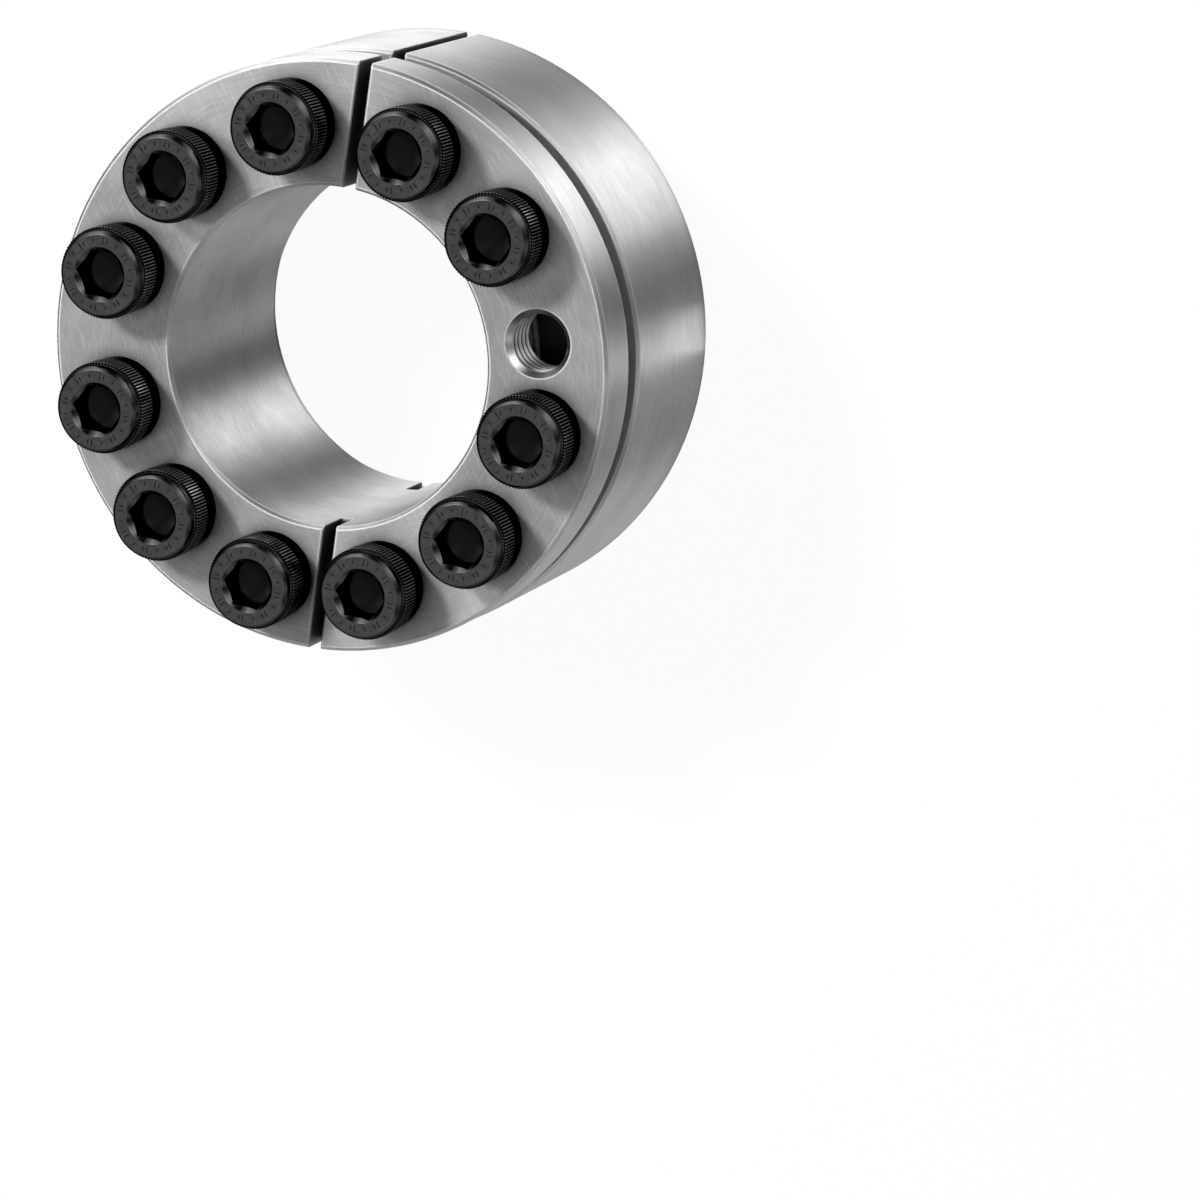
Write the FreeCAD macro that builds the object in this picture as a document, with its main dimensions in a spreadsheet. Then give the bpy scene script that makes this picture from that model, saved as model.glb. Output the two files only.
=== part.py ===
# Shaft locking element: a slit taper sleeve with a flange, a slit outer ring and eleven cap screws.
# Millimetres. +Z is the ring axis and points out of the flange, towards the screw heads.
# The origin is on the axis, in the plane of the outer ring's rear face. The slit lies towards +Y.
# It is shown relaxed, with the air gap open, as it is delivered and put on a shaft.
import FreeCAD, Part
import os
import re

import Sketcher
from FreeCAD import Vector

doc = FreeCAD.newDocument("LockingElement")
sheet = doc.addObject("Spreadsheet::Sheet", "Sizes")

# Driving sizes: name, value in millimetres or degrees, what it is
driving_sizes = [
    ("bore_diameter", 60.0, "shaft bore of the sleeve"),
    ("bore_chamfer", 0.6, "chamfer at both ends of the shaft bore"),
    ("sleeve_wall", 2.0, "sleeve wall at its thin rear end"),
    ("sleeve_setback", 4.5, "sleeve end inside the outer ring's rear face"),
    ("taper_angle", 4.0, "half angle of both cones"),
    ("taper_clearance", 0.2, "radial play between the relaxed cones"),
    ("screw_inset", 11.0, "from the bore wall out to the axis of a screw"),
    ("rim_width", 11.5, "from the axis of a screw out to the outside of the outer ring"),
    ("flange_step", 0.25, "flange inside the outline of the outer ring, on the radius"),
    ("flange_thickness", 10.5, "flange, face to face"),
    ("flange_chamfer", 0.7, "front outer edge of the flange"),
    ("edge_break", 0.3, "sharp edges taken off by hand"),
    ("relaxed_gap", 4.5, "air gap between flange and outer ring before tightening"),
    ("undercut_width", 2.5, "turned undercut behind the flange, along the axis"),
    ("undercut_depth", 1.0, "depth of the undercut below the cone"),
    ("ring_length", 35.0, "outer ring, face to face"),
    ("ring_chamfer", 0.6, "outer edges of the outer ring"),
    ("slit_width", 2.3, "width of every saw cut"),
    ("relief_offset", 4.8, "middle of the relief slot beside the axis"),
    ("relief_depth", 8.0, "relief slot, from the flange's front face"),
    ("notch_depth", 8.0, "notch in the sleeve's rear end"),
    ("screw_pitch", 30.0, "usual angle between neighbouring screws"),
    ("slit_gap", 33.5, "angle between the two screws beside the slit"),
    ("upper_gap", 32.0, "angle from screw 1 to screw 2"),
    ("side_gap", 34.0, "angle from screw 3 to screw 4"),
    ("jack_turn", 22.5, "angle from screw 9 to the jacking hole"),
    ("thread_diameter", 10.0, "outside of the clamping thread"),
    ("thread_clearance", 0.05, "radial play of a screw in its tapped hole"),
    ("thread_mouth", 0.6, "chamfer of a tapped hole at the rear face"),
    ("hole_play", 1.0, "clearance hole through the flange over the thread"),
    ("screw_length", 35.0, "screw below its head"),
    ("head_diameter", 16.27, "screw head over its knurl"),
    ("head_height", 10.0, "screw head"),
    ("bevel_width", 1.2, "bevel round the top face of the head, on the radius"),
    ("bevel_height", 0.8, "the same bevel along the axis"),
    ("socket_width", 8.0, "hexagon socket across its flats"),
    ("socket_depth", 5.4, "depth of the hexagon socket"),
    ("jack_diameter", 12.0, "outside of the jacking thread"),
    ("jack_clearance", 0.3, "jacking hole outside the undercut"),
]

# Heights above the outer ring's rear face, and the cone that both rings share
flange_rear = "(ring_length + relaxed_gap)"
flange_front = "(ring_length + relaxed_gap + flange_thickness)"
cone_at = "(bore_diameter / 2 + sleeve_wall + (%s - sleeve_setback) * tan(taper_angle))"

# Radii
bolt_radius = "(bore_diameter / 2 + screw_inset)"
ring_radius = "(bore_diameter / 2 + screw_inset + rim_width)"
flange_radius = "(bore_diameter / 2 + screw_inset + rim_width - flange_step)"
undercut_radius = "(%s - undercut_depth)" % (cone_at % flange_rear)
jack_radius = "(%s + jack_clearance + jack_diameter / 2)" % undercut_radius

# Screw 1 stands just left of the slit and the numbers run anticlockwise, seen from the front
turns_between = ["upper_gap", "screw_pitch", "side_gap"] + ["screw_pitch"] * 5
screw_angles = ["(90 + slit_gap / 2)"]
for turn_between in turns_between:
    screw_angles.append("(%s + %s)" % (screw_angles[-1], turn_between))
jack_angle = "(%s + jack_turn)" % screw_angles[-1]
screw_angles += ["(450 - slit_gap / 2 - screw_pitch)", "(450 - slit_gap / 2)"]

# Geometry closer than this, in millimetres, is at the same place
same_place = 1e-4


def fill_sheet():
    for row, (alias, size, note) in enumerate(driving_sizes, start=1):
        sheet.set("A%d" % row, note)
        sheet.set("B%d" % row, "%g" % size)
        sheet.setAlias("B%d" % row, alias)
    doc.recompute()


def bound(text):
    """The same formula, with each size spelled as a cell of the sheet."""
    return re.sub(r"[a-z]+(?:_[a-z]+)+", r"Sizes.\g<0>", text)


def value(text):
    return float(sheet.evalExpression(bound(text)))


def polar(radius, angle):
    return "%s * cos(%s)" % (radius, angle), "%s * sin(%s)" % (radius, angle)


def new_sketch(body, name, role, lift="0", turn="0"):
    """A sketch on one of the body's own planes, raised along its normal and turned about it."""
    sketch = body.newObject("Sketcher::SketchObject", name)
    plane = [feature for feature in body.Origin.OriginFeatures if feature.Role == role][0]
    sketch.AttachmentSupport = [(plane, "")]
    sketch.MapMode = "FlatFace"
    sketch.setExpression("AttachmentOffset.Base.z", bound(lift))
    sketch.setExpression("AttachmentOffset.Rotation.Angle", bound(turn))
    return sketch


def place_point(sketch, element, point, position):
    for kind, text in zip(("DistanceX", "DistanceY"), position):
        number = sketch.addConstraint(Sketcher.Constraint(kind, -1, 1, element, point, value(text)))
        sketch.setExpression("Constraints[%d]" % number, bound(text))


def draw_outline(sketch, corners):
    """A closed outline of straight lines through corners that are given as formulas."""
    points = [Vector(value(across), value(along), 0) for across, along in corners]
    for start, end in zip(points, points[1:] + points[:1]):
        sketch.addGeometry(Part.LineSegment(start, end))
    for line, corner in enumerate(corners):
        following = (line + 1) % len(corners)
        sketch.addConstraint(Sketcher.Constraint("Coincident", line, 2, following, 1))
        place_point(sketch, line, 1, corner)


def draw_circles(sketch, centres, diameter):
    for centre in centres:
        middle = Vector(value(centre[0]), value(centre[1]), 0)
        circle = sketch.addGeometry(Part.Circle(middle, Vector(0, 0, 1), value(diameter) / 2))
        place_point(sketch, circle, 3, centre)
        number = sketch.addConstraint(Sketcher.Constraint("Diameter", circle, value(diameter)))
        sketch.setExpression("Constraints[%d]" % number, bound(diameter))


def turned(body, name, corners):
    """Turn an outline of radii and heights about Z."""
    sketch = new_sketch(body, name + "_outline", "XZ_Plane")
    draw_outline(sketch, corners)
    revolution = body.newObject("PartDesign::Revolution", name)
    revolution.Profile = sketch
    revolution.ReferenceAxis = (sketch, ["V_Axis"])
    revolution.Angle = 360
    doc.recompute()


def sunk(body, name, sketch, depth=None):
    """Cut a sketch straight down, to a depth or right through."""
    pocket = body.newObject("PartDesign::Pocket", name)
    pocket.Profile = sketch
    if depth is None:
        pocket.Type = "ThroughAll"
    else:
        pocket.Type = "Length"
        pocket.setExpression("Length", bound(depth))
    return pocket


def saw_cut(body, name, lift, turn, offset, depth=None):
    """A straight cut of the saw's width from inside the bore outwards, beside or through the axis."""
    sketch = new_sketch(body, name + "_outline", "XY_Plane", lift, turn)
    low, high = "%s - slit_width / 2" % offset, "%s + slit_width / 2" % offset
    inner, outer = "bore_diameter / 4", "2 * " + ring_radius
    draw_outline(sketch, [(inner, low), (outer, low), (outer, high), (inner, high)])
    return sunk(body, name, sketch, depth)


def drilled(body, name, lift, centres, diameter, depth=None):
    """Flat-ended holes straight down, to a depth or right through."""
    sketch = new_sketch(body, name + "_places", "XY_Plane", lift)
    draw_circles(sketch, centres, diameter)
    doc.recompute()
    hole = body.newObject("PartDesign::Hole", name)
    hole.Profile = sketch
    hole.setExpression("Diameter", bound(diameter))
    if depth is None:
        hole.DepthType = "ThroughAll"
    else:
        hole.DepthType = "Dimension"
        hole.DrillPoint = "Flat"
        hole.setExpression("Depth", bound(depth))
    return hole


def chamfered(body, name, wanted, width):
    """Break the edges of the body that the test accepts."""
    base = body.Tip
    edges = ["Edge%d" % number for number, edge in enumerate(base.Shape.Edges, start=1) if wanted(edge)]
    if not edges:
        raise RuntimeError("no edges for " + name)
    chamfer = body.newObject("PartDesign::Chamfer", name)
    chamfer.Base = (base, edges)
    chamfer.setExpression("Size", bound(width))
    return chamfer


def finish_cut(body, feature):
    """Rebuild after a cut and make sure that it took material away."""
    before = feature.BaseFeature.Shape.Volume
    body.Tip = feature
    doc.recompute()
    if feature.Shape.Volume >= before:
        raise RuntimeError(feature.Label + " cuts nothing")


def straight_in_plane(height):
    """Test for straight edges that lie in one level plane."""
    level = value(height)

    def accepts(edge):
        straight = edge.Curve.TypeId == "Part::GeomLine"
        return straight and all(abs(vertex.Z - level) < same_place for vertex in edge.Vertexes)

    return accepts


def circle_in_plane(height, diameter):
    """Test for round edges of one diameter in one level plane."""
    level, radius = value(height), value(diameter) / 2

    def accepts(edge):
        if edge.Curve.TypeId != "Part::GeomCircle":
            return False
        return abs(edge.Curve.Radius - radius) < same_place and abs(edge.Curve.Center.z - level) < same_place

    return accepts


def make_inner_ring():
    """Flange and taper sleeve in one piece, with the shaft bore."""
    body = doc.addObject("PartDesign::Body", "inner_ring")
    bore = "bore_diameter / 2"
    undercut_rear = flange_rear + " - undercut_width"
    turned(body, "ring_with_flange", [
        (bore, "sleeve_setback + bore_chamfer"),
        (bore + " + bore_chamfer", "sleeve_setback"),
        (cone_at % "sleeve_setback", "sleeve_setback"),
        (cone_at % ("(%s)" % undercut_rear), undercut_rear),
        (undercut_radius, undercut_rear),
        (undercut_radius, flange_rear),
        (flange_radius + " - edge_break", flange_rear),
        (flange_radius, flange_rear + " + edge_break"),
        (flange_radius, flange_front + " - flange_chamfer"),
        (flange_radius + " - flange_chamfer", flange_front),
        (bore + " + bore_chamfer", flange_front),
        (bore, flange_front + " - bore_chamfer"),
    ])
    places = [polar(bolt_radius, angle) for angle in screw_angles]
    finish_cut(body, drilled(body, "screw_holes", flange_front, places, "(thread_diameter + hole_play)"))
    finish_cut(body, drilled(body, "jacking_hole", flange_front, [polar(jack_radius, jack_angle)],
                             "jack_diameter", "flange_thickness + undercut_width / 2"))
    finish_cut(body, saw_cut(body, "slit", flange_front, "90", "0"))
    finish_cut(body, saw_cut(body, "relief_slot", flange_front, "270", "relief_offset", "relief_depth"))
    finish_cut(body, saw_cut(body, "rear_notch", "(sleeve_setback + notch_depth)", "270", "relief_offset",
                             "notch_depth"))
    finish_cut(body, chamfered(body, "slot_edges", straight_in_plane(flange_front), "edge_break"))
    return body


def make_outer_ring():
    """Plain cylinder outside, cone inside, tapped for the screws and slit along its whole length."""
    body = doc.addObject("PartDesign::Body", "outer_ring")
    rear_mouth = cone_at % "0" + " + taper_clearance"
    front_mouth = cone_at % "ring_length" + " + taper_clearance"
    turned(body, "taper_ring", [
        (rear_mouth, "0"),
        (ring_radius + " - ring_chamfer", "0"),
        (ring_radius, "ring_chamfer"),
        (ring_radius, "ring_length - ring_chamfer"),
        (ring_radius + " - ring_chamfer", "ring_length"),
        (front_mouth, "ring_length"),
    ])
    places = [polar(bolt_radius, angle) for angle in screw_angles]
    finish_cut(body, drilled(body, "tapped_holes", "ring_length", places, "thread_diameter"))
    finish_cut(body, saw_cut(body, "slit", "ring_length", "90", "0"))
    finish_cut(body, chamfered(body, "rear_mouths", circle_in_plane("0", "thread_diameter"), "thread_mouth"))
    finish_cut(body, chamfered(body, "slit_edges", straight_in_plane("ring_length"), "edge_break"))
    return body


def make_screw(number, angle):
    """Socket head cap screw. Its own frame has the seat of the head at zero height."""
    body = doc.addObject("PartDesign::Body", "clamp_screw_%02d" % number)
    head, shank = "head_diameter / 2", "(thread_diameter / 2 - thread_clearance)"
    turned(body, "screw_blank", [
        ("0", "-screw_length"),
        (shank, "-screw_length"),
        (shank, "0"),
        (head, "0"),
        (head, "head_height - bevel_height"),
        (head + " - bevel_width", "head_height"),
        ("0", "head_height"),
    ])
    hexagon = new_sketch(body, "hexagon", "XY_Plane", "head_height")
    draw_outline(hexagon, [polar("socket_width / sqrt(3)", str(60 * corner)) for corner in range(6)])
    finish_cut(body, sunk(body, "hexagon_socket", hexagon, "socket_depth"))
    for axis, text in zip("xy", polar(bolt_radius, angle)):
        body.setExpression("Placement.Base." + axis, bound(text))
    body.setExpression("Placement.Base.z", bound(flange_front))
    return body


def check_and_write(bodies):
    doc.recompute()
    for item in doc.Objects:
        if "Invalid" in item.State or "Error" in item.State:
            raise RuntimeError(item.Label + " did not build")
    for body in bodies:
        shape = body.Shape
        if shape.isNull() or not shape.isValid() or len(shape.Solids) != 1:
            raise RuntimeError(body.Label + " is not one sound solid")
    os.makedirs("parts", exist_ok=True)
    for body in bodies:
        body.Shape.exportStep("parts/%s.step" % body.Label)
        print(body.Label, "%.1f mm3" % body.Shape.Volume)


fill_sheet()
made = [make_inner_ring(), make_outer_ring()]
for screw_number, screw_angle in enumerate(screw_angles, start=1):
    made.append(make_screw(screw_number, screw_angle))
check_and_write(made)
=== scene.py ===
import math

import bpy
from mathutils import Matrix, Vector


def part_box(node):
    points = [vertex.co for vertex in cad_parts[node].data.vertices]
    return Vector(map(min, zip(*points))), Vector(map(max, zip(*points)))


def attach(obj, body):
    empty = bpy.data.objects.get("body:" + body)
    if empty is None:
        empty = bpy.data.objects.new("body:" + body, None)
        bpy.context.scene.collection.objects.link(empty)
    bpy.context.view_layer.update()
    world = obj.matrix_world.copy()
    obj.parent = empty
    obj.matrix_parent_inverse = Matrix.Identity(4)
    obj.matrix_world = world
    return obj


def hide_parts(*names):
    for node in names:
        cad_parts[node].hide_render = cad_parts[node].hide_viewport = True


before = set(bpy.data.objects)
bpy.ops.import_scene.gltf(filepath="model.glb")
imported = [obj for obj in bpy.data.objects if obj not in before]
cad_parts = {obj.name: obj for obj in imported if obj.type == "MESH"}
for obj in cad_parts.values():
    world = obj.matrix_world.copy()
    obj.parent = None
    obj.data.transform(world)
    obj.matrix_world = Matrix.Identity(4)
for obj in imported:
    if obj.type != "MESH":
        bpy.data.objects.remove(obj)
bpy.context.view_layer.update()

mm = 0.001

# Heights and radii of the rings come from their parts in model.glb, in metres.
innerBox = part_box("inner_ring")
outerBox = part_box("outer_ring")
faceHeight = innerBox[1][2]  # front face of the flange
ringHeight = outerBox[1][2]  # front face of the outer ring
screwNames = sorted(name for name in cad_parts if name.startswith("clamp_screw_"))


def linearColour(hexColour):
    channels = []
    for start in (1, 3, 5):
        level = int(hexColour[start:start + 2], 16) / 255
        channels.append(level / 12.92 if level <= 0.04045 else ((level + 0.055) / 1.055) ** 2.4)
    return (*channels, 1.0)


def addNode(tree, kind, settings, inputs):
    node = tree.nodes.new(kind)
    for name, setting in settings.items():
        setattr(node, name, setting)
    for socket, feed in inputs.items():
        if isinstance(feed, bpy.types.NodeSocket):
            tree.links.new(feed, node.inputs[socket])
        else:
            node.inputs[socket].default_value = feed
    return node


def newMaterial(name):
    material = bpy.data.materials.new(name)
    material.use_nodes = True
    material.node_tree.nodes.clear()
    return material


# Camera: the photograph's own place, turn and long lens.
cameraLook = {
    "place": (0.34991, 0.20897, 0.91764),  # m
    "turn": (-11.810, 20.610, 8.577),  # degrees
    "lens": 165,  # mm
    "sensor": 36,  # mm
    "near": 0.01,  # m
    "far": 50,
}


def placeCamera():
    data = bpy.data.cameras.new("camera")
    data.lens = cameraLook["lens"]
    data.sensor_width = cameraLook["sensor"]
    data.clip_start = cameraLook["near"]
    data.clip_end = cameraLook["far"]
    camera = bpy.data.objects.new("camera", data)
    camera.location = cameraLook["place"]
    camera.rotation_euler = [math.radians(angle) for angle in cameraLook["turn"]]
    bpy.context.scene.collection.objects.link(camera)
    bpy.context.scene.camera = camera


placeCamera()
print("camera placed")

# Studio: a pale floor, a white surround, soft lamps, and a light tent that only reflections see.
floorLook = {
    "size": 8.0,  # m
    "colour": "#f2f2f2",
    "cameraWhite": 0.95,  # share of the floor seen as plain white, the rest keeps the shadow
}
worldLook = {"ambient": 0.20, "white": 1.0}
lamps = {  # place and size in m, power in watts
    "keyBox": {"place": (-0.80, 0.62, 1.28), "size": (0.26, 0.26), "power": 35.0, "mirrored": False},
    "socketBox": {"place": (-0.62, 0.10, 0.75), "size": (0.20, 0.20), "power": 0.7, "mirrored": True},
}
# Panels of the tent: brightness by compass angle in degrees. Pale and dark cards stand in turn.
tentPanels = {
    -180: 0.08, -160: 0.12, -135: 0.34, -105: 0.58, -75: 0.64, -50: 0.78, -30: 0.18, -5: 0.72,
    12: 0.08, 25: 0.40, 38: 1.70, 56: 2.70, 72: 1.00, 86: 0.06, 100: 0.02, 111: 0.80, 124: 2.80,
    138: 2.05, 151: 1.05, 165: 0.20,
}
tentLook = {
    "radius": 3.0,  # m
    "segments": 64,
    "rings": 32,
    "roof": 0.42,  # brightness overhead
    "roofFrom": 0.50,  # share of the tent's height where its sides start to fade into the roof
    "roofTo": 0.90,
}


# What a mirror shows and what the camera sees, so that metal reflects the same white as stands behind it.
def shareSeen(tree, cameraShare):
    path = addNode(tree, "ShaderNodeLightPath", {}, {})
    mirrored = addNode(tree, "ShaderNodeMath", {"operation": "MAXIMUM"},
                       {0: path.outputs["Is Glossy Ray"], 1: path.outputs["Is Transmission Ray"]})
    view = addNode(tree, "ShaderNodeMath", {"operation": "MULTIPLY"},
                   {0: path.outputs["Is Camera Ray"], 1: cameraShare})
    return mirrored, view


def layFloor():
    bpy.ops.object.select_all(action="DESELECT")
    bpy.ops.mesh.primitive_plane_add(size=floorLook["size"], location=(0, 0, 0))
    floor = bpy.context.object
    floor.name = "floor"
    material = newMaterial("pale matt floor")
    tree = material.node_tree
    paint = addNode(tree, "ShaderNodeBsdfDiffuse", {}, {"Color": linearColour(floorLook["colour"])})
    white = addNode(tree, "ShaderNodeEmission", {}, {"Color": (1, 1, 1, 1), "Strength": 1.0})
    clear = addNode(tree, "ShaderNodeBsdfTransparent", {}, {})
    mirrored, view = shareSeen(tree, floorLook["cameraWhite"])
    pale = addNode(tree, "ShaderNodeMixShader", {},
                   {0: view.outputs[0], 1: paint.outputs[0], 2: white.outputs[0]})
    seen = addNode(tree, "ShaderNodeMixShader", {},
                   {0: mirrored.outputs[0], 1: pale.outputs[0], 2: clear.outputs[0]})
    addNode(tree, "ShaderNodeOutputMaterial", {}, {"Surface": seen.outputs[0]})
    floor.data.materials.append(material)


def lightWorld():
    world = bpy.data.worlds.new("white surround")
    bpy.context.scene.world = world
    world.use_nodes = True
    tree = world.node_tree
    tree.nodes.clear()
    mirrored, view = shareSeen(tree, 1.0)
    seen = addNode(tree, "ShaderNodeMath", {"operation": "MAXIMUM"},
                   {0: mirrored.outputs[0], 1: view.outputs[0]})
    spread = addNode(tree, "ShaderNodeMapRange", {},
                     {"Value": seen.outputs[0],
                      "To Min": worldLook["ambient"], "To Max": worldLook["white"]})
    sky = addNode(tree, "ShaderNodeBackground", {},
                  {"Color": (1, 1, 1, 1), "Strength": spread.outputs[0]})
    addNode(tree, "ShaderNodeOutputWorld", {}, {"Surface": sky.outputs[0]})


def pitchTent():
    bpy.ops.object.select_all(action="DESELECT")
    bpy.ops.mesh.primitive_uv_sphere_add(segments=tentLook["segments"], ring_count=tentLook["rings"],
                                         radius=tentLook["radius"], location=(0, 0, 0))
    tent = bpy.context.object
    tent.name = "lightTent"
    material = newMaterial("tent cloth and cards")
    tree = material.node_tree
    place = addNode(tree, "ShaderNodeTexCoord", {}, {})
    parts = addNode(tree, "ShaderNodeSeparateXYZ", {}, {0: place.outputs["Object"]})
    angle = addNode(tree, "ShaderNodeMath", {"operation": "ARCTAN2"},
                    {0: parts.outputs[1], 1: parts.outputs[0]})
    share = addNode(tree, "ShaderNodeMapRange", {},
                    {"Value": angle.outputs[0], "From Min": -math.pi, "From Max": math.pi})
    cards = addNode(tree, "ShaderNodeValToRGB", {}, {0: share.outputs[0]})
    ramp = cards.color_ramp
    ramp.interpolation = "EASE"
    brightest = max(tentPanels.values())
    for compass, level in tentPanels.items():
        spot = (compass + 180) / 360
        stop = ramp.elements.new(spot) if compass > -180 else ramp.elements[0]
        stop.color = (level / brightest,) * 3 + (1,)
    ramp.elements[-1].color = ramp.elements[0].color  # the circle closes
    sides = addNode(tree, "ShaderNodeMath", {"operation": "MULTIPLY"},
                    {0: cards.outputs[0], 1: brightest})
    lift = addNode(tree, "ShaderNodeMath", {"operation": "DIVIDE"},
                   {0: parts.outputs[2], 1: tentLook["radius"]})
    roof = addNode(tree, "ShaderNodeMapRange", {"interpolation_type": "SMOOTHSTEP"},
                   {"Value": lift.outputs[0],
                    "From Min": tentLook["roofFrom"], "From Max": tentLook["roofTo"]})
    strength = addNode(tree, "ShaderNodeMix", {"data_type": "FLOAT"},
                       {0: roof.outputs[0], 2: sides.outputs[0], 3: tentLook["roof"]})
    glow = addNode(tree, "ShaderNodeEmission", {},
                   {"Color": (1, 1, 1, 1), "Strength": strength.outputs[0]})
    addNode(tree, "ShaderNodeOutputMaterial", {}, {"Surface": glow.outputs[0]})
    tent.data.materials.append(material)
    tent.visible_camera = False
    tent.visible_diffuse = False
    tent.visible_shadow = False


def hangLamps():
    aim = Vector((0, 0, ringHeight))
    for name, look in lamps.items():
        data = bpy.data.lights.new(name, "AREA")
        data.shape = "RECTANGLE"
        data.size, data.size_y = look["size"]
        data.energy = look["power"]
        lamp = bpy.data.objects.new(name, data)
        lamp.location = look["place"]
        lamp.rotation_euler = (aim - lamp.location).to_track_quat("-Z", "Y").to_euler()
        lamp.visible_camera = False
        lamp.visible_glossy = look["mirrored"]
        bpy.context.scene.collection.objects.link(lamp)


# A narrow pale card lies just under the floor beside the ring, and lays one bright band on its wall.
# Place and size in m, turn in degrees.
lowCard = {"place": (0.092, 0.0015, -0.002), "size": (0.075, 0.010), "turn": -12.0, "level": 1.7}


def laySideCard():
    bpy.ops.object.select_all(action="DESELECT")
    bpy.ops.mesh.primitive_plane_add(size=1, location=lowCard["place"],
                                     rotation=(0, 0, math.radians(lowCard["turn"])))
    card = bpy.context.object
    card.name = "sideCard"
    card.scale = (*lowCard["size"], 1)
    material = newMaterial("pale card")
    tree = material.node_tree
    glow = addNode(tree, "ShaderNodeEmission", {}, {"Color": (1, 1, 1, 1), "Strength": lowCard["level"]})
    addNode(tree, "ShaderNodeOutputMaterial", {}, {"Surface": glow.outputs[0]})
    card.data.materials.append(material)
    card.visible_camera = False
    card.visible_diffuse = False
    card.visible_shadow = False


layFloor()
lightWorld()
pitchTent()
laySideCard()
hangLamps()
print("studio lit")

# Turned steel, satin: fine lines left by the lathe round the axis, so highlights spread across them.
# The real feed marks are about 0.1 mm apart and are drawn 0.2 mm apart, to show at this distance.
steelLook = {
    "turned_steel": {
        "dark": "#969696",
        "light": "#dcdcdb",
        "rough": 0.40,
        "cloud": 11.0,  # mm
        "rim": 1.0,  # brightness left by the painted shade on a front face at its rim
        "shadeShare": 1.0,  # and further in, where the painted shade lies: none here, nearly black on the outer ring
    },
    "turned_steel_outer": {
        "dark": "#949494",
        "light": "#dadad9",
        "rough": 0.38,
        "cloud": 15.0,
        "rim": 0.75,
        "shadeShare": 0.04,
    },
}
turnedMarks = {  # the same on both rings
    "pitch": 0.20, "length": 5.0, "depth": 0.003,  # mm, of the lathe's lines
    "lineGain": 1.1, "lineLift": -0.05, "cloudGain": 0.7,  # contrast of the lines and of the clouds
    "roughSpread": 0.06,
    "anisotropy": 0.90,
    "scratchSlant": 35.0,  # degrees
    "scratchWidth": 0.26, "scratchLength": 6.0,  # mm
    "scratchFrom": 0.58, "scratchTo": 0.72, "scratchBright": 0.26,
    "flatFrom": 0.85, "flatTo": 0.95,  # how upright a surface's normal is on an end face
    "edge": 0.45,  # mm, rounding that light finds on a sharp edge
    "sheenFrom": 0.9993, "sheenTo": 0.988,  # cosine of the angle by which that rounding turns, where the painted highlight begins and is full
    # painted highlight along sharp edges, near white
    "wornSheen": "#fafaf8",
    # reach and depth of the painted shade in slits and holes
    "crevice": 5.0,  # mm
    "hollowFrom": 0.30, "hollowTo": 0.76, "hollowLeast": 0.02,
    "shadeFrom": 4.5, "shadeTo": 2.0,  # mm inside the outer ring's rim, where its painted shade is full and where it fades out
    "frontPlay": 0.02,  # mm
    "wallMetal": 0.89, "faceMetal": 0.66, "edgeMetal": 0.08,
}


def fromAxis(tree, place):
    parts = addNode(tree, "ShaderNodeSeparateXYZ", {}, {0: place})
    flat = addNode(tree, "ShaderNodeCombineXYZ", {}, {0: parts.outputs[0], 1: parts.outputs[1]})
    radius = addNode(tree, "ShaderNodeVectorMath", {"operation": "LENGTH"}, {0: flat.outputs[0]})
    return radius.outputs["Value"], parts.outputs[2], flat.outputs[0]


def polarPlace(tree, place, across, around):
    # Place as (round, round, out, along): long cells round the axis, fine ones across and along it.
    radius, height, flat = fromAxis(tree, place)
    compass = addNode(tree, "ShaderNodeVectorMath", {"operation": "NORMALIZE"}, {0: flat})
    out = addNode(tree, "ShaderNodeMath", {"operation": "MULTIPLY"}, {0: radius, 1: across})
    lift = addNode(tree, "ShaderNodeCombineXYZ", {}, {2: out.outputs[0]})
    spot = addNode(tree, "ShaderNodeVectorMath", {"operation": "MULTIPLY_ADD"},
                   {0: compass.outputs[0], 1: (around,) * 3, 2: lift.outputs[0]})
    along = addNode(tree, "ShaderNodeMath", {"operation": "MULTIPLY"}, {0: height, 1: across})
    return spot.outputs[0], along.outputs[0], radius, height


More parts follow.
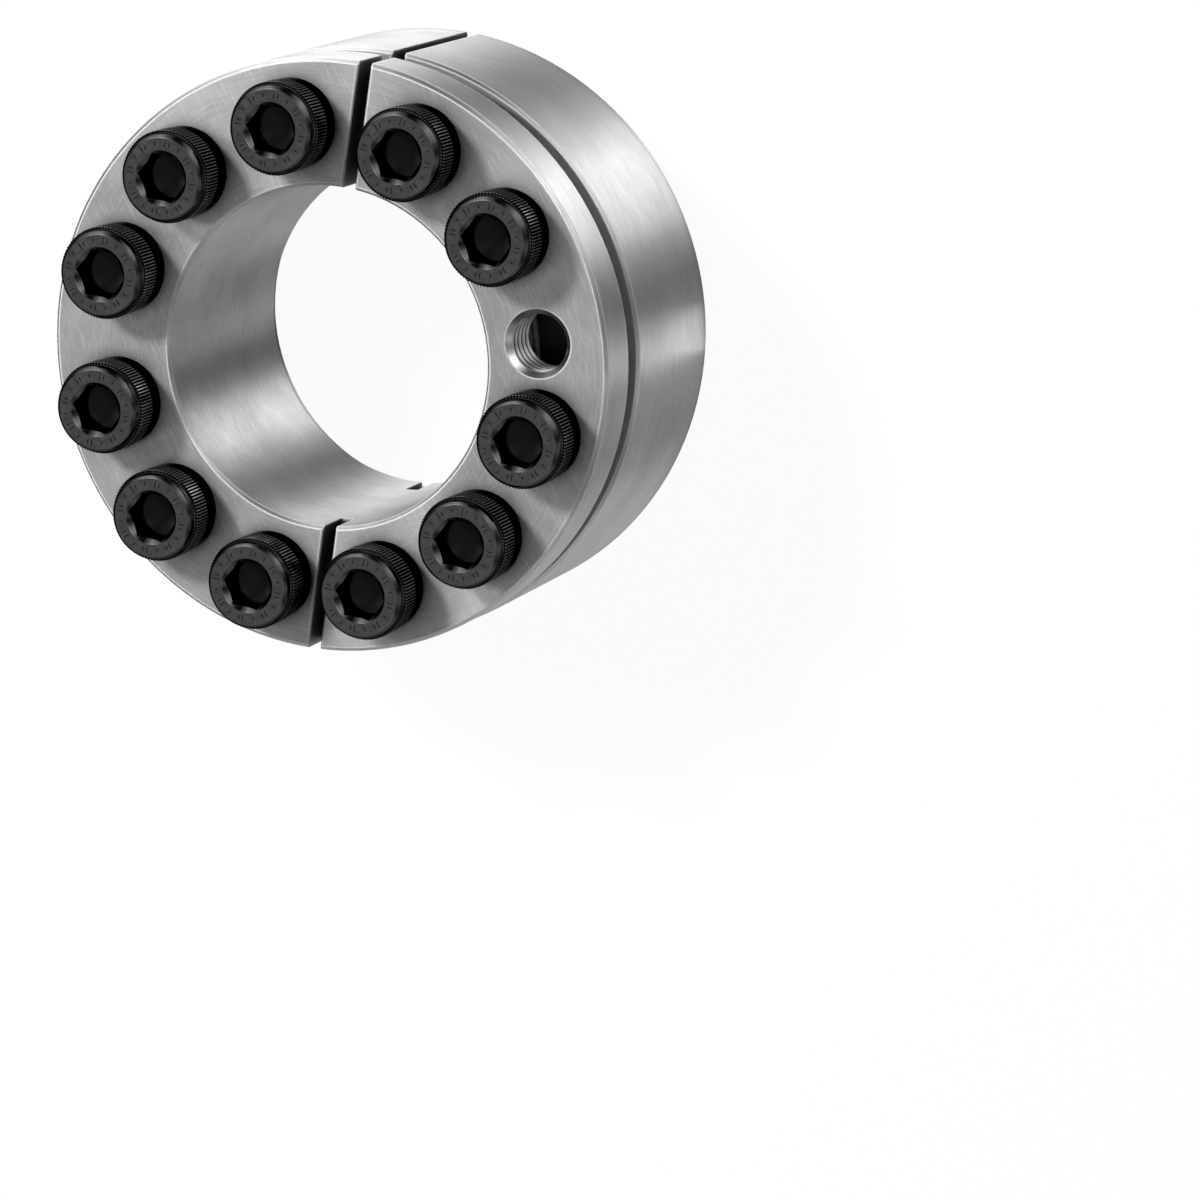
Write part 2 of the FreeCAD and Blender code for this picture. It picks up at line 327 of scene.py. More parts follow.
def turnedSteel(name, look):
    marks = turnedMarks
    rim = outerBox[1][0]
    material = newMaterial(name)
    tree = material.node_tree
    place = addNode(tree, "ShaderNodeTexCoord", {}, {}).outputs["Object"]
    spot, along, radius, height = polarPlace(tree, place, 1 / (marks["pitch"] * mm),
                                             rim / (marks["length"] * mm))
    lines = addNode(tree, "ShaderNodeTexNoise", {"noise_dimensions": "4D"},
                    {"Vector": spot, "W": along, "Scale": 1.0, "Detail": 4.0, "Roughness": 0.7})
    clouds = addNode(tree, "ShaderNodeTexNoise", {},
                     {"Vector": place, "Scale": 1 / (look["cloud"] * mm), "Detail": 3.0})
    tone = addNode(tree, "ShaderNodeMath", {"operation": "MULTIPLY_ADD"},
                   {0: clouds.outputs[0], 1: marks["cloudGain"], 2: -marks["cloudGain"] / 2})
    shade = addNode(tree, "ShaderNodeMath", {"operation": "MULTIPLY_ADD", "use_clamp": True},
                    {0: lines.outputs[0], 1: marks["lineGain"], 2: marks["lineLift"]})
    mixed = addNode(tree, "ShaderNodeMath", {"operation": "ADD", "use_clamp": True},
                    {0: shade.outputs[0], 1: tone.outputs[0]})
    # Handling leaves fine straight scratches on the end faces, across the lathe lines.
    stroke = (marks["scratchWidth"] * mm, marks["scratchLength"] * mm, marks["scratchLength"] * mm)
    slanted = addNode(tree, "ShaderNodeMapping", {"vector_type": "TEXTURE"},
                      {"Vector": place, "Rotation": (0, 0, math.radians(marks["scratchSlant"])),
                       "Scale": stroke})
    strokes = addNode(tree, "ShaderNodeTexNoise", {},
                      {"Vector": slanted.outputs[0], "Scale": 1.0, "Detail": 1.0})
    nicks = addNode(tree, "ShaderNodeMapRange", {},
                    {"Value": strokes.outputs[0], "From Min": marks["scratchFrom"],
                     "From Max": marks["scratchTo"], "To Max": marks["scratchBright"]})
    surface = addNode(tree, "ShaderNodeNewGeometry", {}, {})
    upright = addNode(tree, "ShaderNodeSeparateXYZ", {}, {0: surface.outputs["Normal"]})
    endFace = addNode(tree, "ShaderNodeMapRange", {},
                      {"Value": upright.outputs[2],
                       "From Min": marks["flatFrom"], "From Max": marks["flatTo"]})
    marked = addNode(tree, "ShaderNodeMath", {"operation": "MULTIPLY_ADD", "use_clamp": True},
                     {0: nicks.outputs[0], 1: endFace.outputs[0], 2: mixed.outputs[0]})
    colour = addNode(tree, "ShaderNodeMix", {"data_type": "RGBA"},
                     {0: marked.outputs[0], 6: linearColour(look["dark"]), 7: linearColour(look["light"])})
    # Painted highlight: edges are painted near white where a rounded edge would turn away from the true
    # surface.
    rounded = addNode(tree, "ShaderNodeBevel", {"samples": 3}, {"Radius": marks["edge"] * mm})
    turn = addNode(tree, "ShaderNodeVectorMath", {"operation": "DOT_PRODUCT"},
                   {0: rounded.outputs[0], 1: surface.outputs["Normal"]})
    wornSheen = addNode(tree, "ShaderNodeMapRange", {},
                   {"Value": turn.outputs["Value"],
                    "From Min": marks["sheenFrom"], "From Max": marks["sheenTo"]})
    sheenedEdges = addNode(tree, "ShaderNodeMix", {"data_type": "RGBA"},
                       {0: wornSheen.outputs[0], 6: colour.outputs[2], 7: linearColour(marks["wornSheen"])})
    # Painted shade darkens the slits, the gap and the holes.
    hollow = addNode(tree, "ShaderNodeAmbientOcclusion", {"samples": 4},
                     {"Distance": marks["crevice"] * mm})
    hollowShade = addNode(tree, "ShaderNodeMapRange", {},
                    {"Value": hollow.outputs["AO"], "From Min": marks["hollowFrom"],
                     "From Max": marks["hollowTo"], "To Min": marks["hollowLeast"]})
    # The outer ring's front face shows through the gap and the jacking hole: painted shade keeps it nearly
    # black, and lighter at its rim only.
    aboveRingFace = addNode(tree, "ShaderNodeMath", {"operation": "GREATER_THAN"},
                    {0: height, 1: ringHeight - marks["frontPlay"] * mm})
    shadeByRadius = addNode(tree, "ShaderNodeMapRange", {},
                    {"Value": radius, "From Min": rim - marks["shadeFrom"] * mm,
                     "From Max": rim - marks["shadeTo"] * mm,
                     "To Min": look["shadeShare"], "To Max": look["rim"]})
    faceShade = addNode(tree, "ShaderNodeMix", {"data_type": "FLOAT"},
                    {0: aboveRingFace.outputs[0], 2: 1.0, 3: shadeByRadius.outputs[0]})
    ringShade = addNode(tree, "ShaderNodeMath", {"operation": "MULTIPLY"},
                   {0: hollowShade.outputs[0], 1: faceShade.outputs[0]})
    finish = addNode(tree, "ShaderNodeMix", {"data_type": "RGBA"},
                     {0: ringShade.outputs[0], 6: (0, 0, 0, 1), 7: sheenedEdges.outputs[2]})
    satin = addNode(tree, "ShaderNodeMapRange", {},
                    {"Value": lines.outputs[0], "From Min": 0.3, "From Max": 0.7,
                     "To Min": look["rough"] + marks["roughSpread"],
                     "To Max": look["rough"] - marks["roughSpread"]})
    relief = addNode(tree, "ShaderNodeBump", {},
                     {"Strength": 1.0, "Distance": marks["depth"] * mm, "Height": lines.outputs[0],
                      "Normal": rounded.outputs[0]})
    # End faces are rubbed flat and scatter light more than the turned walls; the edges with the painted
    # highlight scatter most.
    facing = addNode(tree, "ShaderNodeMapRange", {},
                     {"Value": endFace.outputs[0],
                      "To Min": marks["wallMetal"], "To Max": marks["faceMetal"]})
    metal = addNode(tree, "ShaderNodeMix", {"data_type": "FLOAT"},
                    {0: wornSheen.outputs[0], 2: facing.outputs[0], 3: marks["edgeMetal"]})
    ringWay = addNode(tree, "ShaderNodeTangent", {"direction_type": "RADIAL", "axis": "Z"}, {})
    steel = addNode(tree, "ShaderNodeBsdfPrincipled", {},
                    {"Base Color": finish.outputs[2], "Metallic": metal.outputs[0],
                     "Roughness": satin.outputs[0], "Normal": relief.outputs[0],
                     "Anisotropic": marks["anisotropy"], "Anisotropic Rotation": 0.25,
                     "Tangent": ringWay.outputs[0]})
    addNode(tree, "ShaderNodeOutputMaterial", {}, {"Surface": steel.outputs[0]})
    return material


def dressRings():
    for node, name in (("inner_ring", "turned_steel"), ("outer_ring", "turned_steel_outer")):
        material = turnedSteel(name.replace("_", " "), steelLook[name])
        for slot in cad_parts[node].material_slots:
            slot.material = material


dressRings()
print("rings finished")


# Socket-head cap screw, M10: heights from the seat under its head, in mm.
screwLook = {
    "length": 35.0,
    "tip": 1.0,
    "tipSlope": 0.7,
    "rootRadius": 4.03,
    "threadRadius": 4.95,
    "pitch": 1.5,
    "ridgeFoot": 1.22,  # width of the thread's ridge at its foot and at its crest
    "ridgeCrest": 0.22,
    "ridgeSink": 0.03,  # how deep the foot stands in the shank
    "threadEnd": 2.6,  # plain neck left under the head
    "threadFade": 0.4,
    "baseRadius": 7.985,
    "seatEdge": 0.3,
    "baseTop": 3.75,
    "headRadius": 8.135,
    "gripFrom": 3.95,
    "gripTo": 8.15,
    "flutes": 88,
    "fluteDepth": 0.26,
    "neckRadius": 7.66,
    "neckFrom": 8.45,
    "neckTo": 9.15,
    "rimSteps": ((0.10, 9.48), (0.34, 9.78)),  # how far inside the neck, and how high
    "faceRadius": 6.95,
    "height": 10.0,
    "socket": 8.0,  # across its flats
    "socketDepth": 5.4,
    "socketOver": 2.0,  # how far its cutter stands out
    "drillDepth": 2.4,
    "drillPlay": 0.04,
    "drillLip": 0.22,
    "mouthRadius": 4.85,
    "mouthBevel": 1.2,
    "mouthOver": 0.2,
    "ticks": 24,
    "tickRadius": 5.95,
    "tickLengths": (1.1, 0.6, 0.85),
    "tickShift": 0.25,  # share of the space between two ticks
    "tickWidth": 0.20,
    "tickDepth": 0.24,  # half of it enters the face
    "smooth": 26,  # degrees
}

# Black-oxide steel: a thin dark skin on cold-formed steel, satin, with a neck and face painted paler as if
# lit from above, and paler knurl crests, partly wear and partly painted highlight.
blackLook = {
    "deep": "#060606",
    "skin": "#141414",
    # neck and face: painted paler, as lit from above
    "neck": "#484847",
    "face": "#7c7c7a",
    # paler knurl crests: partly wear, partly painted highlight
    "wornSheen": "#8e8e8c",
    "drilled": "#30302f",
    "glance": "#828282",  # tint of light that only glances off
    "rough": 0.15, "smoother": 0.05, "rougher": 0.08,
    "drilledRough": 0.42,
    "anisotropy": 0.70,
    "marks": 0.20, "cloud": 1.1, "depth": 0.004,  # mm
    "around": 3.0,  # cells of the lines in one radian
    "lineGain": 0.7,  # contrast
    "neckBand": (1.70, 1.50), "faceBand": (0.12, 0.02),  # mm below the top
    "crestBand": 0.10,  # mm
    "floorBand": (0.20, 0.05),  # mm above the socket's floor
    "socketReach": 4.2,  # mm
    "crevice": 4.0,  # mm
    "hollowFrom": 0.14, "hollowTo": 0.70, "hollowLeast": 0.04,
}


def blackSteel():
    look = blackLook
    top = screwLook["height"]
    floor = top - screwLook["socketDepth"]
    material = newMaterial("black-oxide steel")
    tree = material.node_tree
    place = addNode(tree, "ShaderNodeAttribute", {"attribute_name": "ownPlace"}, {}).outputs["Vector"]
    spot, along, radius, height = polarPlace(tree, place, 1 / (look["marks"] * mm), look["around"])
    lines = addNode(tree, "ShaderNodeTexNoise", {"noise_dimensions": "4D"},
                    {"Vector": spot, "W": along, "Scale": 1.0, "Detail": 3.0, "Roughness": 0.6})
    clouds = addNode(tree, "ShaderNodeTexNoise", {},
                     {"Vector": place, "Scale": 1 / (look["cloud"] * mm), "Detail": 4.0,
                      "Roughness": 0.65})
    both = addNode(tree, "ShaderNodeMath", {"operation": "MULTIPLY_ADD"},
                   {0: lines.outputs[0], 1: look["lineGain"], 2: -look["lineGain"] / 2})
    shade = addNode(tree, "ShaderNodeMath", {"operation": "ADD", "use_clamp": True},
                    {0: both.outputs[0], 1: clouds.outputs[0]})
    colour = addNode(tree, "ShaderNodeMix", {"data_type": "RGBA"},
                     {0: shade.outputs[0], 6: linearColour(look["deep"]), 7: linearColour(look["skin"])})
    # Painted light: the neck and end face are painted paler than the rolled sides, as where light falls on
    # them from above.
    onTop = addNode(tree, "ShaderNodeMapRange", {},
                    {"Value": height, "From Min": (top - look["neckBand"][0]) * mm,
                     "From Max": (top - look["neckBand"][1]) * mm})
    paintedNeck = addNode(tree, "ShaderNodeMix", {"data_type": "RGBA"},
                     {0: onTop.outputs[0], 6: colour.outputs[2], 7: linearColour(look["neck"])})
    onFace = addNode(tree, "ShaderNodeMapRange", {},
                     {"Value": height, "From Min": (top - look["faceBand"][0]) * mm,
                      "From Max": (top - look["faceBand"][1]) * mm})
    paler = addNode(tree, "ShaderNodeMath", {"operation": "MULTIPLY"},
                    {0: onFace.outputs[0], 1: shade.outputs[0]})
    paintedFace = addNode(tree, "ShaderNodeMix", {"data_type": "RGBA"},
                    {0: paler.outputs[0], 6: paintedNeck.outputs[2], 7: linearColour(look["face"])})
    # The crests of the knurl are painted paler, partly wear and partly painted highlight, and its grooves
    # stay dark.
    crest = addNode(tree, "ShaderNodeMapRange", {},
                    {"Value": radius, "From Min": (screwLook["headRadius"] - look["crestBand"]) * mm,
                     "From Max": screwLook["headRadius"] * mm})
    skin = addNode(tree, "ShaderNodeMix", {"data_type": "RGBA"},
                   {0: crest.outputs[0], 6: paintedFace.outputs[2], 7: linearColour(look["wornSheen"])})
    # Painted shade in the socket, the knurl's grooves and other hollows.
    hollow = addNode(tree, "ShaderNodeAmbientOcclusion", {"samples": 4},
                     {"Distance": look["crevice"] * mm})
    hollowShade = addNode(tree, "ShaderNodeMapRange", {},
                    {"Value": hollow.outputs["AO"], "From Min": look["hollowFrom"],
                     "From Max": look["hollowTo"], "To Min": look["hollowLeast"]})
    # The drilled floor of the socket is a little paler and rougher than the pressed hexagon.
    inside = addNode(tree, "ShaderNodeMath", {"operation": "LESS_THAN"},
                     {0: radius, 1: look["socketReach"] * mm})
    above = addNode(tree, "ShaderNodeMath", {"operation": "GREATER_THAN"}, {0: height, 1: 0.0})
    below = addNode(tree, "ShaderNodeMapRange", {},
                    {"Value": height, "From Min": (floor + look["floorBand"][0]) * mm,
                     "From Max": (floor + look["floorBand"][1]) * mm})
    drilled = addNode(tree, "ShaderNodeMath", {"operation": "MULTIPLY"},
                      {0: inside.outputs[0], 1: above.outputs[0]})
    share = addNode(tree, "ShaderNodeMath", {"operation": "MULTIPLY"},
                    {0: drilled.outputs[0], 1: below.outputs[0]})
    metal = addNode(tree, "ShaderNodeMix", {"data_type": "RGBA"},
                    {0: share.outputs[0], 6: skin.outputs[2], 7: linearColour(look["drilled"])})
    finish = addNode(tree, "ShaderNodeMix", {"data_type": "RGBA"},
                     {0: hollowShade.outputs[0], 6: (0, 0, 0, 1), 7: metal.outputs[2]})
    smooth = addNode(tree, "ShaderNodeMapRange", {},
                     {"Value": clouds.outputs[0], "From Min": 0.3, "From Max": 0.7,
                      "To Min": look["rough"] - look["smoother"],
                      "To Max": look["rough"] + look["rougher"]})
    satin = addNode(tree, "ShaderNodeMix", {"data_type": "FLOAT"},
                    {0: share.outputs[0], 2: smooth.outputs[0], 3: look["drilledRough"]})
    relief = addNode(tree, "ShaderNodeBump", {},
                     {"Strength": 1.0, "Distance": look["depth"] * mm, "Height": lines.outputs[0]})
    ringWay = addNode(tree, "ShaderNodeTangent", {"direction_type": "RADIAL", "axis": "Z"}, {})
    steel = addNode(tree, "ShaderNodeBsdfPrincipled", {},
                    {"Base Color": finish.outputs[2], "Metallic": 1.0, "Roughness": satin.outputs[0],
                     "Specular Tint": linearColour(look["glance"]),
                     "Anisotropic": look["anisotropy"], "Anisotropic Rotation": 0.25,
                     "Normal": relief.outputs[0], "Tangent": ringWay.outputs[0]})
    addNode(tree, "ShaderNodeOutputMaterial", {}, {"Surface": steel.outputs[0]})
    return material


def pickVertices(piece, wanted):
    bpy.ops.object.mode_set(mode="EDIT")
    bpy.ops.mesh.select_mode(type="VERT")
    bpy.ops.mesh.select_all(action="DESELECT")
    bpy.ops.object.mode_set(mode="OBJECT")
    for vertex in piece.data.vertices:
        vertex.select = wanted(vertex.co)
    bpy.ops.object.mode_set(mode="EDIT")


def turnSolid(name, corners, sides):
    # A disc is pulled up along the axis corner by corner, each level scaled to its own radius.
    radius, height = corners[0]
    bpy.ops.object.select_all(action="DESELECT")
    bpy.ops.mesh.primitive_circle_add(vertices=sides, radius=radius, fill_type="NGON", location=(0, 0, 0))
    piece = bpy.context.object
    piece.name = name
    bpy.ops.object.mode_set(mode="EDIT")
    bpy.ops.transform.translate(value=(0, 0, height))
    for nextRadius, nextHeight in corners[1:]:
        bpy.ops.mesh.extrude_region_move(TRANSFORM_OT_translate={"value": (0, 0, nextHeight - height)})
        ratio = nextRadius / radius
        bpy.ops.transform.resize(value=(ratio, ratio, 1), center_override=(0, 0, nextHeight))
        radius, height = nextRadius, nextHeight
    bpy.ops.mesh.select_all(action="SELECT")
    bpy.ops.mesh.normals_make_consistent(inside=False)
    bpy.ops.object.mode_set(mode="OBJECT")
    return piece


def cutAway(piece, cutter):
    bpy.ops.object.select_all(action="DESELECT")
    bpy.context.view_layer.objects.active = piece
    piece.select_set(True)
    bpy.ops.object.modifier_add(type="BOOLEAN")
    cut = piece.modifiers[-1]
    cut.operation = "DIFFERENCE"
    cut.solver = "EXACT"
    cut.object = cutter
    bpy.ops.object.modifier_apply(modifier=cut.name)
    bpy.data.objects.remove(cutter, do_unlink=True)


def helix(name, rootRadius, crestRadius, rootWidth, crestWidth, pitch, start, turns, steps):
    # One thread ridge: a four-cornered section is swept round the axis, and both ends are closed.
    middle = (rootRadius + crestRadius) / 2
    bpy.ops.object.select_all(action="DESELECT")
    bpy.ops.mesh.primitive_plane_add(size=1, location=(0, 0, 0))
    ridge = bpy.context.object
    ridge.name = name
    bpy.ops.object.mode_set(mode="EDIT")
    bpy.ops.mesh.delete(type="ONLY_FACE")
    bpy.ops.mesh.select_all(action="SELECT")
    bpy.ops.transform.rotate(value=math.pi / 2, orient_axis="X", center_override=(0, 0, 0))
    bpy.ops.transform.resize(value=(abs(crestRadius - rootRadius), 1, rootWidth), center_override=(0, 0, 0))
    side = 1 if crestRadius > rootRadius else -1
    pickVertices(ridge, lambda place: place.x * side > 0)
    bpy.ops.transform.resize(value=(1, 1, crestWidth / rootWidth), center_override=(0, 0, 0))
    bpy.ops.mesh.select_all(action="SELECT")
    bpy.ops.transform.translate(value=(middle, 0, start))
    bpy.ops.object.mode_set(mode="OBJECT")
    bpy.ops.object.modifier_add(type="SCREW")
    sweep = ridge.modifiers[-1]
    sweep.axis = "Z"
    sweep.angle = 2 * math.pi
    sweep.screw_offset = pitch
    sweep.iterations = turns
    sweep.steps = steps
    sweep.render_steps = steps
    bpy.ops.object.modifier_apply(modifier=sweep.name)
    bpy.ops.object.mode_set(mode="EDIT")
    bpy.ops.mesh.select_all(action="SELECT")
    if pitch == 0:
        bpy.ops.mesh.remove_doubles(threshold=0.0005 * mm)
    else:
        bpy.ops.mesh.fill_holes(sides=4)
    bpy.ops.mesh.select_all(action="SELECT")
    bpy.ops.mesh.normals_make_consistent(inside=False)
    bpy.ops.object.mode_set(mode="OBJECT")
    return ridge


def joinTo(piece, others):
    bpy.ops.object.select_all(action="DESELECT")
    for other in others:
        other.select_set(True)
    piece.select_set(True)
    bpy.context.view_layer.objects.active = piece
    bpy.ops.object.join()


def finishShape(piece, material, angle):
    bpy.ops.object.select_all(action="DESELECT")
    bpy.context.view_layer.objects.active = piece
    piece.select_set(True)
    bpy.ops.object.shade_smooth_by_angle(angle=math.radians(angle))
    own = piece.data.attributes.new("ownPlace", "FLOAT_VECTOR", "POINT")
    for vertex in piece.data.vertices:
        own.data[vertex.index].vector = vertex.co
    piece.data.materials.clear()
    piece.data.materials.append(material)


def copyTo(pattern, name, place, body):
    piece = pattern.copy()
    piece.data = pattern.data.copy()
    piece.name = name
    bpy.context.scene.collection.objects.link(piece)
    bpy.ops.object.select_all(action="DESELECT")
    bpy.context.view_layer.objects.active = piece
    piece.select_set(True)
    piece.location = place
    bpy.ops.object.transform_apply(location=True, rotation=False, scale=False)
    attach(piece, body)
    return piece


def headCorners(look):
    neck = look["neckRadius"]
    corners = [
        (look["rootRadius"] - look["tip"] * look["tipSlope"], -look["length"]),
        (look["rootRadius"], -look["length"] + look["tip"]),
        (look["rootRadius"], -look["threadEnd"]),
        (look["threadRadius"], -look["threadEnd"] + look["threadFade"]),
        (look["threadRadius"], 0.0),
        (look["baseRadius"] - look["seatEdge"], 0.0),
        (look["baseRadius"], look["seatEdge"]),
        (look["baseRadius"], look["baseTop"]),
        (look["headRadius"], look["gripFrom"]),
        (look["headRadius"], look["gripTo"]),
        (neck, look["neckFrom"]),
        (neck, look["neckTo"]),
    ]
    for inward, height in look["rimSteps"]:
        corners.append((neck - inward, height))
    corners.append((look["faceRadius"], look["height"]))
    return corners


def makeScrew(look, material):
    sides = look["flutes"] * 3
    corners = [(radius * mm, height * mm) for radius, height in headCorners(look)]
    screw = turnSolid("screwPattern", corners, sides)

    # Knurl: every third edge of the grip band is drawn in, which leaves V grooves.
    gripLow = (look["baseTop"] + look["gripFrom"]) / 2 * mm
    gripHigh = (look["gripTo"] + look["neckFrom"]) / 2 * mm

    def inGroove(place):
        turn = math.atan2(place.y, place.x) / (2 * math.pi) * sides
        return gripLow < place.z < gripHigh and round(turn) % 3 == 0
    pickVertices(screw, inGroove)
    ratio = 1 - look["fluteDepth"] / look["headRadius"]
    bpy.ops.transform.resize(value=(ratio, ratio, 1), center_override=(0, 0, 0))
    bpy.ops.object.mode_set(mode="OBJECT")

    # Socket: the hexagon, its drilled floor, and the bevel round its mouth.
    top = look["height"] * mm
    floor = top - look["socketDepth"] * mm
    over = look["socketOver"] * mm
    bpy.ops.object.select_all(action="DESELECT")
    bpy.ops.mesh.primitive_cylinder_add(vertices=6, radius=look["socket"] * mm / math.sqrt(3),
                                        depth=top - floor + over,
                                        location=(0, 0, floor + (top - floor) / 2 + over / 2),
                                        rotation=(0, 0, math.pi / 6))
    cutAway(screw, bpy.context.object)
    slope = look["drillDepth"] / (look["socket"] / 2 - look["drillPlay"])
    lip = look["drillLip"] * mm
    depth = look["drillDepth"] * mm + lip
    bpy.ops.object.select_all(action="DESELECT")
    bpy.ops.mesh.primitive_cone_add(vertices=72, radius1=0, radius2=depth / slope, depth=depth,
                                    location=(0, 0, floor + lip - depth / 2))
    cutAway(screw, bpy.context.object)
    bevel = look["mouthBevel"] * mm
    over = look["mouthOver"] * mm
    mouth = look["mouthRadius"] * mm + over
    bpy.ops.object.select_all(action="DESELECT")
    bpy.ops.mesh.primitive_cone_add(vertices=96, radius1=mouth - bevel, radius2=mouth, depth=bevel,
                                    location=(0, 0, top + over - bevel / 2))
    cutAway(screw, bpy.context.object)

    # Small plain ticks pressed into the face ring, of three lengths in turn.
    ticks = []
    tickRadius = look["tickRadius"] * mm
    for number in range(look["ticks"]):
        kind = number % len(look["tickLengths"])
        turn = 2 * math.pi * (number + look["tickShift"] * kind) / look["ticks"]
        size = (look["tickLengths"][kind] * mm, look["tickWidth"] * mm, look["tickDepth"] * mm)
        place = (tickRadius * math.cos(turn), tickRadius * math.sin(turn), top)
        bpy.ops.object.select_all(action="DESELECT")
        bpy.ops.mesh.primitive_cube_add(size=1, location=place, rotation=(0, 0, turn), scale=size)
        ticks.append(bpy.context.object)
    joinTo(ticks[0], ticks[1:])
    cutAway(screw, ticks[0])

    pitch = look["pitch"]
    turns = int((look["length"] - look["threadEnd"] - look["tip"]) / pitch) - 1
    start = -look["length"] + look["tip"] + pitch / 2
    ridge = helix("screwRidge", (look["rootRadius"] - look["ridgeSink"]) * mm, look["threadRadius"] * mm,
                  look["ridgeFoot"] * mm, look["ridgeCrest"] * mm, pitch * mm, start * mm, turns, 48)
    joinTo(screw, [ridge])
    finishShape(screw, material, look["smooth"])
    return screw


def setScrews():
    black = blackSteel()
    pattern = makeScrew(screwLook, black)
    for node in screwNames:
        low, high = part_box(node)
        place = ((low[0] + high[0]) / 2, (low[1] + high[1]) / 2, faceHeight)
        number = node[-2:]
        screw = copyTo(pattern, "socketScrew" + number, place, "screw_" + number)
        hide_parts(node)
    bpy.data.objects.remove(pattern, do_unlink=True)


setScrews()
print("screws set")

# Threads cut in the steel, in mm: the jacking hole in the flange, and the holes behind the screw tips.
jackHole = {
    "place": (38.348, 10.455),
    "radius": 6.0,
    "crest": 5.08,
    "pitch": 1.75,
    "foot": 1.5,  # width of the ridge at the wall and at its crest
    "top": 0.4,
    "start": 4.5,  # above the outer ring's face
    "lead": 0.8,
    "mouth": 0.88,
    "mouthTop": 0.02,
    "mouthSink": 0.02,
    "smooth": 30,  # degrees
}
tappedHole = {
    "radius": 5.0,
    "crest": 4.2,
    "pitch": 1.5,
    "foot": 1.3,
    "top": 0.3,
    "start": 1.3,  # above the rear face
    "reach": 12.4,
    "endPlay": 1.6,
    "smooth": 30,
}
wallPlay = 0.005  # mm between a ridge and the wall behind it, so that no two faces share a place

# Freshly cut thread: bright, smoother than the turned faces, black where little light gets in.
cutLook = {
    "dark": "#9a9a99",
    "light": "#e8e8e6",
    "rough": 0.24, "roughSpread": 0.08,
    "cloud": 1.5,  # mm
    "crevice": 5.0,  # mm
    "hollowFrom": 0.22, "hollowTo": 0.52, "hollowLeast": 0.01,
    # painted shade in the roots of the thread
    "shadeFrom": 5.80, "shadeTo": 5.25, "shadeLeast": 0.02,  # mm from the hole's axis, and the share left
    "shadeDepth": (1.0, 1.3),  # mm below the face
}


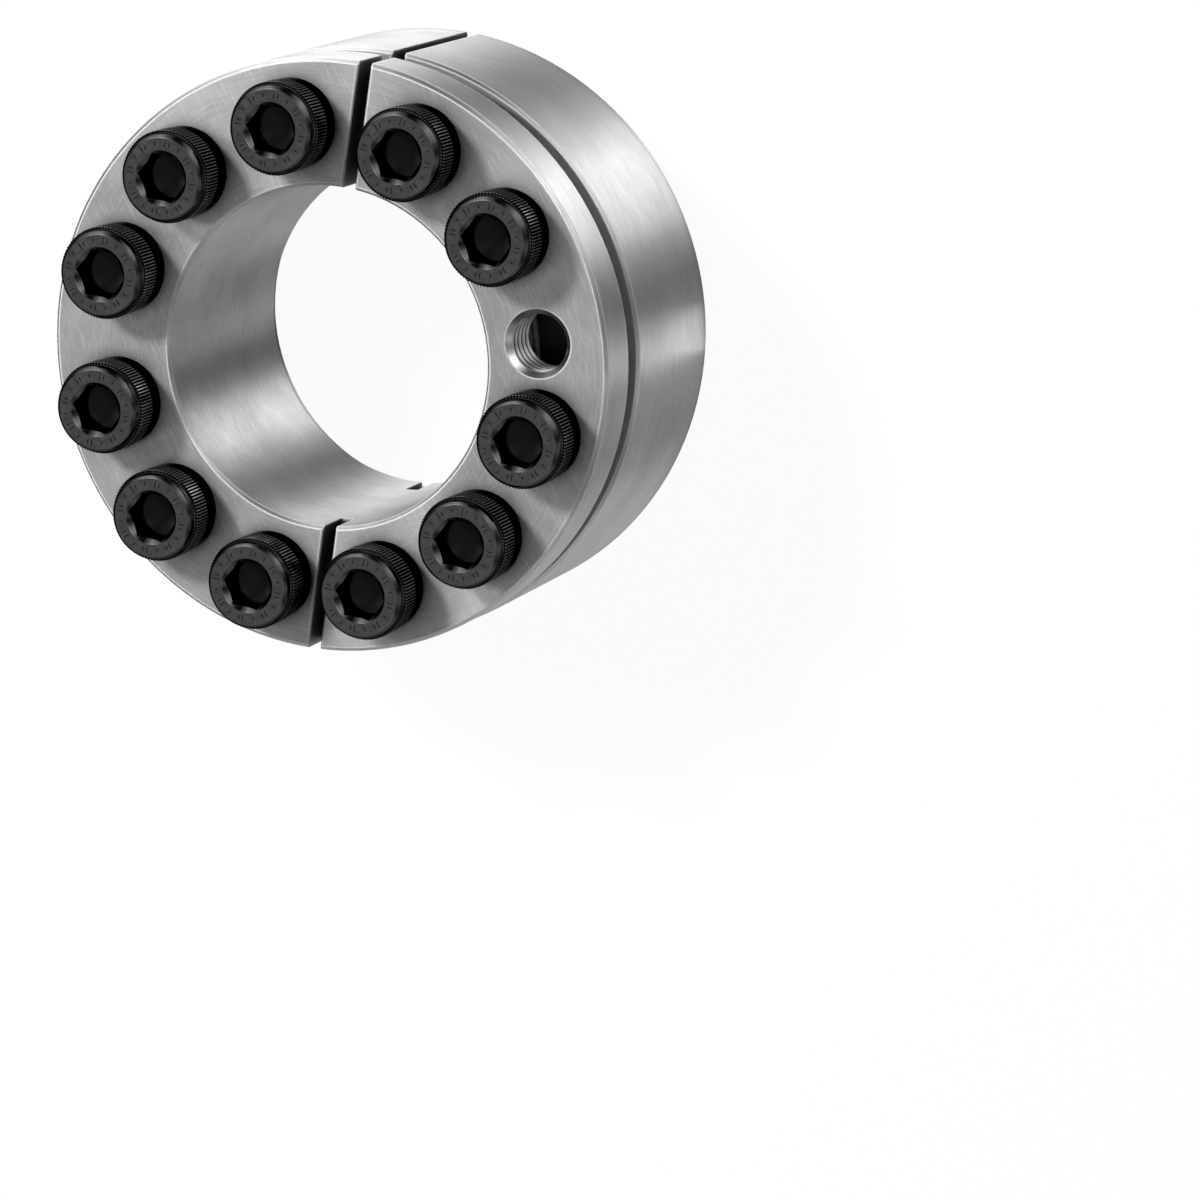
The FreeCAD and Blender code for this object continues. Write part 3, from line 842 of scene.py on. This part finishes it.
def cutSteel():
    look = cutLook
    material = newMaterial("cut thread steel")
    tree = material.node_tree
    place = addNode(tree, "ShaderNodeAttribute", {"attribute_name": "ownPlace"}, {}).outputs["Vector"]
    clouds = addNode(tree, "ShaderNodeTexNoise", {},
                     {"Vector": place, "Scale": 1 / (look["cloud"] * mm), "Detail": 3.0})
    colour = addNode(tree, "ShaderNodeMix", {"data_type": "RGBA"},
                     {0: clouds.outputs[0], 6: linearColour(look["dark"]), 7: linearColour(look["light"])})
    # Painted shade in the hole, where little light gets in.
    hollow = addNode(tree, "ShaderNodeAmbientOcclusion", {"samples": 4},
                     {"Distance": look["crevice"] * mm})
    hollowShade = addNode(tree, "ShaderNodeMapRange", {},
                    {"Value": hollow.outputs["AO"], "From Min": look["hollowFrom"],
                     "From Max": look["hollowTo"], "To Min": look["hollowLeast"]})
    # Painted shade keeps the roots of the thread black below its mouth, and only the crests keep their
    # colour.
    radius, height = fromAxis(tree, place)[:2]
    crest = addNode(tree, "ShaderNodeMapRange", {},
                    {"Value": radius, "From Min": look["shadeFrom"] * mm, "From Max": look["shadeTo"] * mm,
                     "To Min": look["shadeLeast"]})
    below = addNode(tree, "ShaderNodeMapRange", {},
                    {"Value": height, "From Min": -look["shadeDepth"][0] * mm,
                     "From Max": -look["shadeDepth"][1] * mm})
    shadeShare = addNode(tree, "ShaderNodeMix", {"data_type": "FLOAT"},
                  {0: below.outputs[0], 2: 1.0, 3: crest.outputs[0]})
    threadShade = addNode(tree, "ShaderNodeMath", {"operation": "MULTIPLY"},
                    {0: hollowShade.outputs[0], 1: shadeShare.outputs[0]})
    finish = addNode(tree, "ShaderNodeMix", {"data_type": "RGBA"},
                     {0: threadShade.outputs[0], 6: (0, 0, 0, 1), 7: colour.outputs[2]})
    satin = addNode(tree, "ShaderNodeMapRange", {},
                    {"Value": clouds.outputs[0],
                     "To Min": look["rough"], "To Max": look["rough"] + look["roughSpread"]})
    steel = addNode(tree, "ShaderNodeBsdfPrincipled", {},
                    {"Base Color": finish.outputs[2], "Metallic": 1.0, "Roughness": satin.outputs[0]})
    addNode(tree, "ShaderNodeOutputMaterial", {}, {"Surface": steel.outputs[0]})
    return material


def cutThreads():
    bright = cutSteel()

    # Jacking hole: its thread, and a plain bevel round its mouth.
    hole = jackHole
    low = ringHeight + hole["start"] * mm
    depth = faceHeight - low
    turns = int(depth / (hole["pitch"] * mm))
    ridge = helix("jackRidge", (hole["radius"] - wallPlay) * mm, hole["crest"] * mm,
                  hole["foot"] * mm, hole["top"] * mm, hole["pitch"] * mm,
                  -depth + hole["lead"] * mm, turns - 1, 72)
    mouth = helix("jackMouth", (hole["radius"] - wallPlay) * mm, hole["crest"] * mm,
                  2 * hole["mouth"] * mm, hole["mouthTop"] * mm, 0.0,
                  -(hole["mouth"] + hole["mouthSink"]) * mm, 1, 96)
    joinTo(ridge, [mouth])
    finishShape(ridge, bright, hole["smooth"])
    x, y = hole["place"]
    copyTo(ridge, "jackingThread", (x * mm, y * mm, faceHeight), "inner_ring")
    bpy.data.objects.remove(ridge, do_unlink=True)

    # Tapped holes of the outer ring, seen from behind.
    hole = tappedHole
    turns = int((hole["reach"] - hole["endPlay"]) / hole["pitch"])
    ridge = helix("tapRidge", (hole["radius"] - wallPlay) * mm, hole["crest"] * mm,
                  hole["foot"] * mm, hole["top"] * mm, hole["pitch"] * mm,
                  hole["start"] * mm, turns, 48)
    finishShape(ridge, bright, hole["smooth"])
    for node in screwNames:
        low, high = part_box(node)
        place = ((low[0] + high[0]) / 2, (low[1] + high[1]) / 2, outerBox[0][2])
        copyTo(ridge, "tappedThread" + node[-2:], place, "outer_ring")
    bpy.data.objects.remove(ridge, do_unlink=True)


cutThreads()
print("threads cut")

bpy.context.scene.view_settings.view_transform = "Standard"
